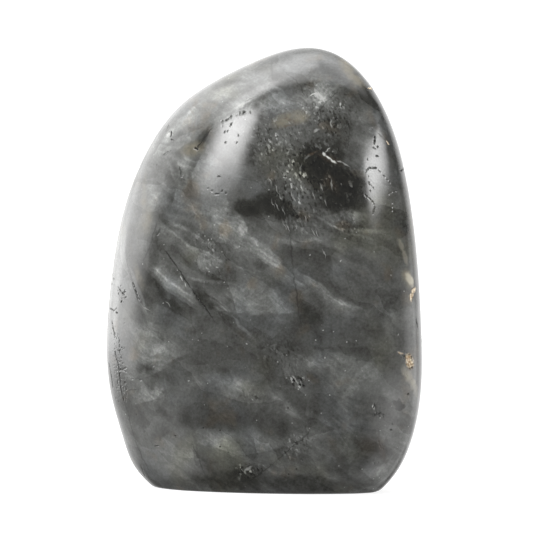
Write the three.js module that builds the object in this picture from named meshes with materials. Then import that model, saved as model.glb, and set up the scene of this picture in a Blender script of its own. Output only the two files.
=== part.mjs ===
// A polished labradorite freeform: one solid stone, ground smooth all round, that stands on a flat cut.
// Millimetres, +Z up, the flat base on z = 0. The broad front face looks towards -Y and a little to -X, the
// wide shoulder is at the upper left as seen from the front, and a tighter ridge runs up the right.
import * as THREE from 'three';
import { mergeVertices } from 'three/addons/utils/BufferGeometryUtils.js';

// Driving dimensions, in millimetres
const HEIGHT = 100;
const CAP_HEIGHT = 80; // where the side rows end and the rounded cap begins
const EDGE_RADIUS = 0.9; // the small round along the edge of the flat base

// The form of the stone at a few heights. From the front: the middle of its outline and half of its width.
// From the side: the middle of its thickness and half of that thickness.
const LEVELS = [
  { height: 0, x: 0.6, halfWidth: 25.8, y: -0.4, halfDepth: 14.8 },
  { height: 3, x: 0.4, halfWidth: 28.7, y: -0.3, halfDepth: 17.0 },
  { height: 10, x: 0.6, halfWidth: 32.3, y: -0.2, halfDepth: 19.4 },
  { height: 21, x: 0.3, halfWidth: 35.1, y: -0.1, halfDepth: 20.9 },
  { height: 35, x: 0.0, halfWidth: 35.7, y: 0.0, halfDepth: 21.3 },
  { height: 50, x: 0.3, halfWidth: 34.6, y: 0.2, halfDepth: 20.7 },
  { height: 65, x: 1.0, halfWidth: 32.2, y: 0.5, halfDepth: 19.1 },
  { height: 78, x: 2.4, halfWidth: 28.0, y: 0.8, halfDepth: 16.5 },
  { height: 88, x: 4.4, halfWidth: 22.0, y: 1.1, halfDepth: 13.2 },
  { height: 95, x: 7.7, halfWidth: 13.6, y: 1.4, halfDepth: 8.5 },
  { height: HEIGHT, x: 10.0, halfWidth: 0, y: 1.6, halfDepth: 0 },
];

// The shape of a level cut through the stone
const FORWARD_RIGHT = 0.38; // how far the right end leans to the front, as a share of the half depth
const SQUARENESS = 0.015; // how far the cut fills its corners, as a share of the half depth
const RIDGE_SHARE = 0.028; // height of the three soft ridges round the stone, as a share of the half depth
const RIDGE_ANGLE = THREE.MathUtils.degToRad(-52); // where the front right ridge points, from +X
const RIDGES = 3;
const SIDES = 4;
const FULL_SHAPE = 0.45; // share of the way down the outline at which the ridges and corners are full

// Faces of the mesh across the width, the depth and the height
const COLUMNS_WIDE = 24;
const COLUMNS_DEEP = 16;
const ROWS = 34;
const EDGE_ROWS = 2; // of those rows, the ones that turn round the edge of the base

const CLOSE = 1e-4; // vertices nearer than this are the same one

// How far down the outline a height is: 0 at the top, 1 at the base. The round top is a straight line in
// this measure, so a smooth curve through a few levels follows it.
function wayDown(height) {
  return Math.sqrt(Math.max(0, 1 - height / HEIGHT));
}

/**
 * A natural cubic spline: the smoothest curve through the given places and values.
 *
 * @param {number[]} places in rising order
 * @param {number[]} values one for each place
 * @returns {(place: number) => number} the curve's value at any place
 */
function smoothCurve(places, values) {
  const last = places.length - 1;
  const bend = new Array(last + 1).fill(0);
  const share = new Array(last + 1).fill(0);
  for (let i = 1; i < last; i++) {
    const before = places[i] - places[i - 1];
    const after = places[i + 1] - places[i];
    const turn = (values[i + 1] - values[i]) / after - (values[i] - values[i - 1]) / before;
    const pivot = 2 * (before + after) - before * share[i - 1];
    share[i] = after / pivot;
    bend[i] = (6 * turn - before * bend[i - 1]) / pivot;
  }
  for (let i = last - 1; i > 0; i--) bend[i] -= share[i] * bend[i + 1];
  return (place) => {
    let i = 0;
    while (i < last - 1 && place > places[i + 1]) i++;
    const gap = places[i + 1] - places[i];
    const b = (place - places[i]) / gap;
    const a = 1 - b;
    const sag = ((a ** 3 - a) * bend[i] + (b ** 3 - b) * bend[i + 1]) * gap * gap / 6;
    return a * values[i] + b * values[i + 1] + sag;
  };
}

/**
 * A smooth curve through one measure of the levels. The levels are mirrored past the top, so that the curve
 * comes over the top level: a middle is the same on both sides, and a half size changes its sign.
 *
 * @param {string} measure the name of the measure in LEVELS
 * @param {number} mirrored 1 for a middle, -1 for a half size
 * @returns {(down: number) => number} the measure, from how far down the outline it is
 */
function levelCurve(measure, mirrored) {
  const fromTop = LEVELS.toReversed();
  const beyond = LEVELS.slice(0, -1);
  const places = [
    ...beyond.map((level) => -wayDown(level.height)),
    ...fromTop.map((level) => wayDown(level.height)),
  ];
  const values = [
    ...beyond.map((level) => mirrored * level[measure]),
    ...fromTop.map((level) => level[measure]),
  ];
  return smoothCurve(places, values);
}

const middleX = levelCurve('x', 1);
const middleY = levelCurve('y', 1);
const halfWidth = levelCurve('halfWidth', -1);
const halfDepth = levelCurve('halfDepth', -1);

/**
 * A point of the level cut at one height. The cut is an ellipse whose right end leans forward. Its corners
 * are filled a little, and three soft ridges run up it: one at the front right, one on the left and one on
 * the back. Both are added along the way the surface faces, so the cut stays smooth and keeps its size.
 *
 * @param {number} down how far down the outline the cut is
 * @param {number} angle the point's angle round the ellipse, from +X
 * @param {number} inset how far inside the stone's outline the point lies, in millimetres
 * @param {number} share 1 on the outline of the cut, 0 at its middle
 * @returns {THREE.Vector2} the point, seen from above
 */
function cutPoint(down, angle, inset = 0, share = 1) {
  const a = (halfWidth(down) - inset) * share;
  const b = (halfDepth(down) - inset) * share / Math.hypot(1, FORWARD_RIGHT);
  const cos = Math.cos(angle);
  const sin = Math.sin(angle);
  const outward = new THREE.Vector2(b * (cos + FORWARD_RIGHT * sin), a * sin);
  const facing = outward.lengthSq() > 0 ? outward.angle() : 0;
  const size = halfDepth(down) * THREE.MathUtils.smoothstep(down, 0, FULL_SHAPE) * share;
  const corner = SQUARENESS * size;
  const ridge = RIDGE_SHARE * size;
  const phase = RIDGES * (facing - RIDGE_ANGLE);
  const rise = corner * (1 - Math.cos(SIDES * facing)) + ridge * Math.cos(phase);
  const slip = SIDES * corner * Math.sin(SIDES * facing) - RIDGES * ridge * Math.sin(phase);
  const swell = new THREE.Vector2(rise, slip).rotateAround(new THREE.Vector2(), facing);
  const shiftX = ridge * Math.cos(RIDGES * RIDGE_ANGLE);
  const shiftY = -ridge * Math.sin(RIDGES * RIDGE_ANGLE);
  const x = middleX(down) + a * cos + swell.x - shiftX;
  const y = middleY(down) + b * (sin - FORWARD_RIGHT * cos) + swell.y - shiftY;
  return new THREE.Vector2(x, y);
}

/**
 * Lays one corner of a box's faces onto the stone. The box's top becomes the round cap, its sides the
 * flanks and its bottom the flat base.
 *
 * @param {THREE.Vector3} corner the corner, on a box that reaches from -1 to 1
 * @returns {THREE.Vector3} its place on the stone
 */
function ontoStone(corner) {
  const across = corner.x * Math.sqrt(1 - corner.y ** 2 / 2);
  const along = corner.y * Math.sqrt(1 - corner.x ** 2 / 2);
  const share = Math.min(1, Math.hypot(across, along));
  const angle = Math.atan2(along, across);
  if (corner.z > 1 - CLOSE) {
    const down = wayDown(CAP_HEIGHT) * share;
    const point = cutPoint(down, angle);
    return new THREE.Vector3(point.x, point.y, HEIGHT * (1 - down ** 2));
  }
  if (corner.z < CLOSE - 1) {
    const point = cutPoint(1, angle, EDGE_RADIUS, share);
    return new THREE.Vector3(point.x, point.y, 0);
  }
  const row = (1 - corner.z) / 2 * ROWS;
  const straightRows = ROWS - EDGE_ROWS;
  if (row > straightRows) {
    const turn = (row - straightRows) / EDGE_ROWS * Math.PI / 2;
    const height = EDGE_RADIUS * (1 - Math.sin(turn));
    const point = cutPoint(wayDown(height), angle, EDGE_RADIUS * (1 - Math.cos(turn)));
    return new THREE.Vector3(point.x, point.y, height);
  }
  const height = THREE.MathUtils.lerp(CAP_HEIGHT, EDGE_RADIUS, row / straightRows);
  const point = cutPoint(wayDown(height), angle);
  return new THREE.Vector3(point.x, point.y, height);
}

// The whole stone, as one closed surface with shared corners. Its origin is under the middle of its box.
function stoneGeometry() {
  const box = new THREE.BoxGeometry(2, 2, 2, COLUMNS_WIDE, COLUMNS_DEEP, ROWS);
  box.deleteAttribute('normal');
  box.deleteAttribute('uv');
  const surface = mergeVertices(box, CLOSE);
  const corners = surface.getAttribute('position');
  const corner = new THREE.Vector3();
  for (let i = 0; i < corners.count; i++) {
    corner.fromBufferAttribute(corners, i);
    const place = ontoStone(corner);
    corners.setXYZ(i, place.x, place.y, place.z);
  }
  surface.computeBoundingBox();
  const middle = surface.boundingBox.getCenter(new THREE.Vector3());
  surface.translate(-middle.x, -middle.y, 0);
  surface.computeVertexNormals();
  return surface;
}

const polishedStone = new THREE.MeshStandardMaterial({ color: 0x5c5f5b, roughness: 0.12, metalness: 0 });

const stone = new THREE.Mesh(stoneGeometry(), polishedStone);
stone.name = 'labradorite';

const part = new THREE.Group();
part.add(stone);

export default part;
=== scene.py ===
"""A polished labradorite freeform: the stone in detail, its polish, and a plain studio round it.

Metres, +Z up, the flat base on z = 0 and the broad front face towards -Y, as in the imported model. Sizes on
the stone are written in millimetres. A feature that the photograph shows is placed by its pixel there, which
the camera carries onto the surface of the stone.
"""

import logging
import math
import random
from dataclasses import dataclass, field
from enum import Enum

import bpy
import numpy as np
from mathutils import Matrix, Vector, noise
from mathutils.bvhtree import BVHTree
from mathutils.kdtree import KDTree


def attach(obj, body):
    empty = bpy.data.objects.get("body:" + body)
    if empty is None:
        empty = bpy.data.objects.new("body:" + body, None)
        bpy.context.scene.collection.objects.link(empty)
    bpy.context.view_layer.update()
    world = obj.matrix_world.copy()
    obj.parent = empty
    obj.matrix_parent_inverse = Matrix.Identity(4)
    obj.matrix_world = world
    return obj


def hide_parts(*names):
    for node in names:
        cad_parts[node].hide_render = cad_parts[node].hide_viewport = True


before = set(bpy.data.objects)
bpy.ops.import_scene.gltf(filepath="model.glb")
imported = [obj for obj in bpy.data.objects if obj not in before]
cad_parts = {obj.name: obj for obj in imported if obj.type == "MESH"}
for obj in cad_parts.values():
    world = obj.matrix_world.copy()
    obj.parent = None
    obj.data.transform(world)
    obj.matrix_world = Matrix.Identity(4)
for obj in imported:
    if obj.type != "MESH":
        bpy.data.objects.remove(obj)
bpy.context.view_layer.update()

NODE = "labradorite"
MM = 0.001
WHITE = (1.0, 1.0, 1.0, 1.0)
Pixel = tuple[float, float]  # column and row in the photograph, from the upper left
Range = tuple[float, float]
Triple = tuple[float, float, float]
Colour = tuple[float, float, float, float]
Line = tuple[tuple[Pixel, ...], float, float]  # a path, its width in mm and its strength
Swings = tuple[tuple[float, float], ...]  # mm of a noise's size and of how far it moves a place

log = logging.getLogger("labradorite")


# Helpers for the modelling operators

def take_up(piece: bpy.types.Object) -> None:
    """Makes one object the only selected one and the active one.

    Args:
        piece: the object that the next operators work on.
    """
    bpy.ops.object.select_all(action="DESELECT")
    piece.select_set(True)
    bpy.context.view_layer.objects.active = piece


def choose_faces(piece: bpy.types.Object, chosen: np.ndarray) -> None:
    """Selects some faces of a mesh, for the operators of edit mode.

    Args:
        piece: the object, in object mode.
        chosen: True for each face to select.
    """
    mesh = piece.data
    mesh.vertices.foreach_set("select", np.zeros(len(mesh.vertices), bool))
    mesh.edges.foreach_set("select", np.zeros(len(mesh.edges), bool))
    mesh.polygons.foreach_set("select", chosen)


def read_vectors(items: bpy.types.bpy_prop_collection, name: str) -> np.ndarray:
    """Reads one vector of each item of a mesh.

    Args:
        items: the mesh's vertices or faces.
        name: the vector's name, such as co or center.

    Returns:
        One row of three numbers for each item.
    """
    values = np.empty(len(items) * 3, np.float32)
    items.foreach_get(name, values)
    return values.reshape(-1, 3)


def point_tree(points: np.ndarray) -> KDTree:
    """Sorts points so that the ones near a place are found quickly.

    Args:
        points: one row for each point.

    Returns:
        The tree, which gives back the number of each point's row.
    """
    tree = KDTree(len(points))
    for number, point in enumerate(points):
        tree.insert(point, number)
    tree.balance()
    return tree


# Helpers for the shaders

class Value:
    """A number, colour or vector that a node gives, on which sums are written as expressions."""

    def __init__(self, sheet: "Sheet", socket: bpy.types.NodeSocket) -> None:
        """Keeps the sheet that new nodes are added to and the socket that gives the value."""
        self.sheet = sheet
        self.socket = socket

    def _math(self, operation: str, first: object, second: object) -> "Value":
        """Adds one Math node with two values, and gives its result."""
        return self.sheet.node("ShaderNodeMath", {"operation": operation}, {0: first, 1: second})

    def __add__(self, other: object) -> "Value":
        """This value plus another."""
        return self._math("ADD", self, other)

    def __radd__(self, other: object) -> "Value":
        """Another value plus this one."""
        return self._math("ADD", other, self)

    def __sub__(self, other: object) -> "Value":
        """This value less another."""
        return self._math("SUBTRACT", self, other)

    def __rsub__(self, other: object) -> "Value":
        """Another value less this one."""
        return self._math("SUBTRACT", other, self)

    def __mul__(self, other: object) -> "Value":
        """This value times another."""
        return self._math("MULTIPLY", self, other)

    def __rmul__(self, other: object) -> "Value":
        """Another value times this one."""
        return self._math("MULTIPLY", other, self)

    def __truediv__(self, other: object) -> "Value":
        """This value divided by another."""
        return self._math("DIVIDE", self, other)

    def larger(self, other: object) -> "Value":
        """The larger of this value and another."""
        return self._math("MAXIMUM", self, other)

    def between(self, low: float, high: float, start: float = 0.0, end: float = 1.0) -> "Value":
        """Eases this value from one level to another.

        Args:
            low: where the change starts. It may lie above high, for a mask that falls.
            high: where the change ends.
            start: the result at low.
            end: the result at high.

        Returns:
            The eased value.
        """
        levels = {"From Min": low, "From Max": high, "To Min": start, "To Max": end}
        settings = {"interpolation_type": "SMOOTHSTEP", "clamp": False}
        return self.sheet.node("ShaderNodeMapRange", settings, {0: self, **levels})


class Sheet:
    """A node tree to which nodes are added one by one."""

    def __init__(self, tree: bpy.types.NodeTree) -> None:
        """Empties the tree."""
        self.tree = tree
        tree.nodes.clear()

    def add(self, kind: str, settings: dict[str, object], inputs: dict[object, object]) -> bpy.types.Node:
        """Adds a node, sets it up and fills its sockets.

        Args:
            kind: the node's type.
            settings: its properties, or for a ramp its stops as pairs of place and colour.
            inputs: a value or link for each socket, by the socket's name or number.

        Returns:
            The node.
        """
        node = self.tree.nodes.new(kind)
        for name, setting in settings.items():
            if name == "stops":
                self._set_stops(node.color_ramp, setting)
            else:
                setattr(node, name, setting)
        for name, value in inputs.items():
            if isinstance(value, Value):
                self.tree.links.new(value.socket, node.inputs[name])
            else:
                node.inputs[name].default_value = value
        return node

    def node(self, kind: str, settings: dict[str, object], inputs: dict[object, object],
             output: object = 0) -> Value:
        """Adds a node as add does, and gives the output that has this name or number."""
        return Value(self, self.add(kind, settings, inputs).outputs[output])

    @staticmethod
    def _set_stops(ramp: bpy.types.ColorRamp, stops: list[tuple[float, tuple[float, ...]]]) -> None:
        """Gives a ramp its stops.

        Args:
            ramp: the ramp.
            stops: pairs of place and colour, in rising order.
        """
        while len(ramp.elements) < len(stops):
            ramp.elements.new(1.0)
        for element, (place, colour) in zip(ramp.elements, stops):
            element.position = place
            element.color = (*colour, 1.0)

    def vector(self, operation: str, *inputs: object) -> Value:
        """Adds a Vector Math node, whose result is a number for a dot product."""
        output = "Value" if operation == "DOT_PRODUCT" else "Vector"
        return self.node("ShaderNodeVectorMath", {"operation": operation}, dict(enumerate(inputs)), output)

    def parts(self, vector: Value) -> list[Value]:
        """Splits a vector into its three numbers."""
        return [Value(self, output) for output in self.add("ShaderNodeSeparateXYZ", {}, {0: vector}).outputs]

    def framed(self, place: Value, middle: object = (0, 0, 0), turn: object = (0, 0, 0),
               sizes: object = (1, 1, 1)) -> Value:
        """Reads a place in a frame that has its own middle, its own turn in radians and its own sizes."""
        inputs = {"Vector": place, "Location": middle, "Rotation": turn, "Scale": sizes}
        return self.node("ShaderNodeMapping", {"vector_type": "TEXTURE"}, inputs)

    def gradient(self, kind: str, place: Value) -> Value:
        """Adds a Gradient Texture of one kind."""
        return self.node("ShaderNodeTexGradient", {"gradient_type": kind}, {0: place}, "Fac")

    def cells(self, place: Value, spacing: float = 1.0) -> tuple[Value, Value]:
        """Adds cells, and gives the distance from their middles and their random colours."""
        outputs = self.add("ShaderNodeTexVoronoi", {}, {"Vector": place, "Scale": 1 / spacing}).outputs
        return Value(self, outputs["Distance"]), Value(self, outputs["Color"])

    def blend(self, share: object, first: object, second: object, mode: str = "MIX") -> Value:
        """Blends two colours, where share is how much of the second there is."""
        settings = {"data_type": "RGBA", "blend_type": mode}
        return self.node("ShaderNodeMix", settings, {0: share, 6: first, 7: second}, 2)

    def noise(self, place: Value, size: float, detail: float, output: str = "Fac",
              roughness: float = 0.55) -> Value:
        """Adds noise around one half, whose largest forms have this size in millimetres."""
        inputs = {"Vector": place, "Scale": 1 / size, "Detail": detail, "Roughness": roughness}
        return self.node("ShaderNodeTexNoise", {}, inputs, output)


# Where the photograph was taken from

@dataclass(frozen=True)
class Sight:
    """The camera of the photograph, level with the lower half of the stone and a long way off."""

    frame_pixels: int = 540
    scale: float = 4.418  # pixels of the photograph to a millimetre at the aim
    distance: float = 900.0  # mm
    elevation: float = 2.2  # degrees
    aim_x: float = 1.54  # mm
    aim_z: float = 49.57  # mm
    sensor: float = 36.0  # mm
    clip_end: float = 100.0  # m

    @property
    def forward(self) -> Vector:
        """The way the camera looks."""
        angle = math.radians(self.elevation)
        return Vector((0, math.cos(angle), -math.sin(angle)))

    @property
    def place(self) -> Vector:
        """Where the camera stands."""
        return (Vector((self.aim_x, 0, self.aim_z)) - self.forward * self.distance) * MM

    def ray(self, pixel: Pixel) -> Vector:
        """The way from the camera through one pixel.

        Args:
            pixel: the pixel.

        Returns:
            The direction.
        """
        right = Vector((1, 0, 0))
        up = right.cross(self.forward)
        across = pixel[0] - self.frame_pixels / 2
        down = pixel[1] - self.frame_pixels / 2
        far = self.scale * self.distance
        return (self.forward * far + right * across - up * down).normalized()

    def set_camera(self) -> bpy.types.Object:
        """Adds the camera and makes it the scene's.

        Returns:
            The camera.
        """
        tilt = math.pi / 2 - math.radians(self.elevation)
        bpy.ops.object.camera_add(location=self.place, rotation=(tilt, 0, 0))
        camera = bpy.context.object
        camera.name = "camera"
        camera.data.sensor_width = self.sensor
        camera.data.lens = self.scale * self.distance / self.frame_pixels * self.sensor
        camera.data.clip_end = self.clip_end
        bpy.context.scene.camera = camera
        return camera


class Surface:
    """The stone's smooth surface, on which places are found."""

    DRAWS = 40  # how often a pixel that lies off the stone is drawn in
    DRAW = 0.004  # how far each time, as a share of its distance from the middle of the frame

    def __init__(self, piece: bpy.types.Object, sight: Sight) -> None:
        """Sorts the faces of the piece.

        Args:
            piece: the smooth stone.
            sight: the camera of the photograph.
        """
        points = read_vectors(piece.data.vertices, "co")
        faces = [tuple(face.vertices) for face in piece.data.polygons]
        self.tree = BVHTree.FromPolygons(points.tolist(), faces)
        self.sight = sight

    def under(self, pixel: Pixel) -> tuple[Vector, Vector]:
        """Finds what a pixel of the photograph shows.

        Args:
            pixel: the pixel. One just off the stone is drawn in until it meets the edge.

        Returns:
            The place on the stone and the way the surface faces there.
        """
        middle = self.sight.frame_pixels / 2
        for step in range(self.DRAWS):
            inward = 1 - step * self.DRAW
            drawn = (middle + (pixel[0] - middle) * inward, middle + (pixel[1] - middle) * inward)
            place, facing, _, _ = self.tree.ray_cast(self.sight.place, self.sight.ray(drawn))
            if place is not None:
                return place, facing
        raise ValueError(f"pixel {pixel} is too far off the stone")

    def nearest(self, point: Vector) -> tuple[Vector, Vector]:
        """Finds the place on the stone nearest a point, and the way the surface faces there."""
        place, facing, _, _ = self.tree.find_nearest(point)
        return place, facing


# The stone's features

class Kind(Enum):
    """What a streak in the stone looks like."""

    # Veils, and some painted sheen beside the left highlight
    VEIL = "a pale, milky patch under the polish"
    SHEET = "a pale layer that ends in a sharp edge"
    # Smoky patches, and some painted shade beside the right highlight and along the bottom
    SMOKE = "a dark, clear patch"
    SHADE = "a dark layer that ends in a sharp edge"
    FLAKE = "a white cleavage face that catches the light"
    CRACK = "a thin dark line"
    TAN = "a tan stain"
    RUST = "a red-brown stain"
    IVORY = "a pale cream patch under the polish"
    CREAM = "rough, cream coloured feldspar"
    FLECKED = "a zone full of tiny bright and dark cleavage faces"


SOFT_KINDS = (Kind.VEIL, Kind.SHEET, Kind.SMOKE, Kind.SHADE, Kind.FLECKED)
EDGED_KINDS = (Kind.SHEET, Kind.SHADE)
EDGE_FADE = 0.5  # mm over which a sharp edge fades
EDGES = {  # how much of a streak's half width its edge takes: 1 for one that fades from its middle on
    Kind.VEIL: 0.8, Kind.SHEET: 0.65, Kind.SMOKE: 0.85, Kind.SHADE: 0.8, Kind.FLECKED: 1.0, Kind.FLAKE: 0.7,
    Kind.CRACK: 0.6, Kind.TAN: 0.8, Kind.RUST: 0.9, Kind.IVORY: 0.6, Kind.CREAM: 0.5,
}
SOFT_REACH = 4.0  # mm that a soft streak reaches into the stone, or its width if that is more
THIN_REACH = 1.6  # the same for any other streak
BENT_SHARE = 0.7  # half length of a mark as a share of its stretch, where a line has several stretches
LONE_SHARE = 0.5  # the same where it has one
END_SHARE = 0.25  # what an end adds to that, as a share of the width
SHORTEST = 0.05  # mm. A shorter stretch is a round spot


@dataclass(frozen=True)
class Mark:
    """A short stretch of a streak: a flattened spindle that lies in the surface."""

    middle: Vector
    turn: Triple  # radians
    edge_turn: Triple  # the same, turned a quarter, so that its first axis is across
    half_sizes: Triple  # mm along, across and into the stone


Laid = tuple[Kind, list[Mark], float]  # the kind, the marks and the strength of a streak on the stone


@dataclass(frozen=True)
class Streak:
    """A mark in the stone along a line of pixels. It tapers to both ends.

    A sheet or a shade has its sharp edge on the line, and lies to the left of it on the way along it.
    """

    kind: Kind
    path: tuple[Pixel, ...]
    width: float  # mm
    strength: float = 1.0

    def marks(self, surface: Surface) -> list[Mark]:
        """Lays the streak on the stone.

        Args:
            surface: the stone's surface.

        Returns:
            A mark for each stretch of the path.
        """
        corners = [surface.under(pixel) for pixel in self.path]
        width = self.width * 2 if self.kind in EDGED_KINDS else self.width
        return line_marks(corners, width, self.kind in SOFT_KINDS)


def line_marks(corners: list[tuple[Vector, Vector]], width: float, soft: bool) -> list[Mark]:
    """Makes marks along a line on the stone.

    Args:
        corners: the place and the facing of each corner of the line. A single one gives a round spot.
        width: the width of the line, in millimetres.
        soft: True for a mark that reaches deep into the stone.

    Returns:
        A mark for each stretch.
    """
    share = BENT_SHARE if len(corners) > 2 else LONE_SHARE
    reach = max(SOFT_REACH if soft else THIN_REACH, width)
    ends = list(zip(corners, corners[1:])) or [(corners[0], corners[0])]
    marks = []
    for (start, facing), (end, end_facing) in ends:
        outward = (facing + end_facing).normalized()
        along = end - start
        if along.length < SHORTEST * MM:
            along = outward.cross(Vector((0, 0, 1))) * MM * 0.01
        across = outward.cross(along).normalized()
        forward = across.cross(outward)
        turn = Matrix((forward, across, outward)).transposed().to_euler("XYZ")
        edge_turn = Matrix((across, -forward, outward)).transposed().to_euler("XYZ")
        half_length = max(width / 2, along.length / MM * share + width * END_SHARE)
        sizes = (half_length, width / 2, reach)
        marks.append(Mark((start + end) / 2, tuple(turn), tuple(edge_turn), sizes))
    return marks


@dataclass(frozen=True)
class Pit:
    """A small hollow that the polish has not reached."""

    pixel: Pixel
    width: float = 0.5  # mm
    length: float = 0.5  # mm
    turn: float = 0.0  # degrees, anticlockwise from the right as seen from the front
    depth: float = 0.3  # mm


@dataclass(frozen=True)
class Groove:
    """An open crack in the surface along a line of pixels."""

    path: tuple[Pixel, ...]
    width: float = 0.3  # mm
    depth: float = 0.25  # mm


@dataclass(frozen=True)
class Rough:
    """A strip of many small nicks along a line of pixels, where the surface crumbled under the grinding."""

    path: tuple[Pixel, ...]
    width: float  # mm across the strip
    count: int
    size: float = 0.35  # mm across the widest nicks
    depth: float = 0.25  # mm


@dataclass(frozen=True)
class Nick:
    """One round bite out of the surface. Pits, grooves and chips are made of them."""

    place: Vector
    radius: float  # m
    depth: float  # m


# What the photograph shows, feature by feature

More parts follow.
